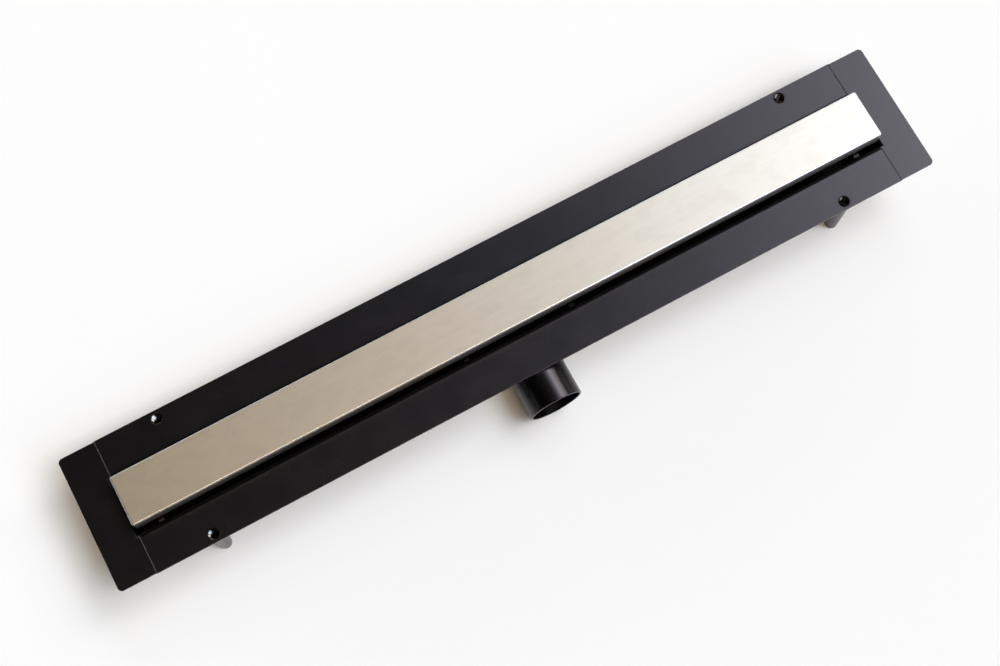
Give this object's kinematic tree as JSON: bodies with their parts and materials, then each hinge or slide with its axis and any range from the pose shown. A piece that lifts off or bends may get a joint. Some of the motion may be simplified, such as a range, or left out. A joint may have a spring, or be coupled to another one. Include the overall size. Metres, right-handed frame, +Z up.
{
  "type": "linear shower drain",
  "caption": "Long black shower channel with a wide flange, tube legs and a side outlet pipe, under a raised brushed steel tile-tray cover.",
  "frame": {"origin": "on the floor, in the middle of the four legs, under the middle of the channel", "axes": "+X along the drain, +Z up, the outlet pipe points to -Y"},
  "size_m": [0.8, 0.1555, 0.081],
  "materials": {
    "channel_coat": "satin black coating on folded steel sheet",
    "pipe_coat": "semi-gloss black coating on steel tube",
    "leg_coat": "satin black coating on steel tube",
    "bar_coat": "semi-gloss black coating on bent flat bar",
    "cover_steel": "stainless sheet brushed along its length",
    "thread_steel": "bare cut steel of the screw threads in the legs"
  },
  "bodies": {
    "root": {"channel_body": "channel_coat", "left_end_plate": "channel_coat", "right_end_plate": "channel_coat", "outlet_pipe": "pipe_coat", "front_left_leg": "leg_coat", "front_right_leg": "leg_coat", "back_left_leg": "leg_coat", "back_right_leg": "leg_coat", "far_left_support": "bar_coat", "mid_left_support": "bar_coat", "mid_right_support": "bar_coat", "far_right_support": "bar_coat", "cover_tray": "cover_steel"}
  },
  "joints": []
}
